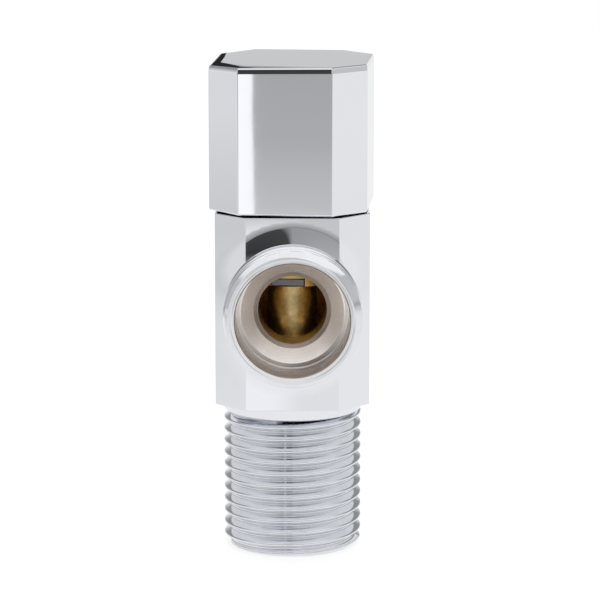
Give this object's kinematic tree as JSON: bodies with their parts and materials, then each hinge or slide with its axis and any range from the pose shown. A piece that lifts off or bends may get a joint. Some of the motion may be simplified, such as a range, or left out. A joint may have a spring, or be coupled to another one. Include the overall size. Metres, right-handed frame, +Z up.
{
  "type": "angle stop valve",
  "caption": "Angle stop valve: chamfered square chromed body with a male threaded inlet below, a male threaded outlet in front and a matching quarter-turn handle on top.",
  "frame": {"origin": "centre of the inlet's end face, on the axis of the body, the inlet bore and the spindle", "axes": "+Z up from the inlet to the handle along the spindle's axis, -Y out of the outlet, +X to the right seen from the outlet's side"},
  "size_m": [0.025, 0.031, 0.0747],
  "materials": {
    "chrome": "polished chrome plate, satin turned threads",
    "mirror_chrome": "mirror chrome plate",
    "brass": "turned brass",
    "rubber": "smooth moulded rubber",
    "ceramic": "ground ceramic",
    "steel": "plain steel",
    "white_plastic": "moulded low-friction plastic"
  },
  "bodies": {
    "valve": {"valve_body": "chrome", "bonnet": "brass", "bonnet_gasket": "rubber", "fixed_disc": "ceramic", "seat_seal": "rubber", "seal_support": "steel"},
    "handle_group": {"spindle": "brass", "friction_ring": "white_plastic", "spindle_o_ring_lower": "rubber", "spindle_o_ring_upper": "rubber", "thrust_washer": "brass", "spindle_circlip": "steel", "moving_disc": "ceramic", "handle": "mirror_chrome", "handle_insert": "brass", "handle_screw": "steel"}
  },
  "joints": [
    {"name": "handle_turn", "type": "hinge", "parent": "valve", "child": "handle_group", "pos_m": [0, 0, 0.0526], "axis": [0, 0, 1], "range_deg": [0, 90]}
  ]
}
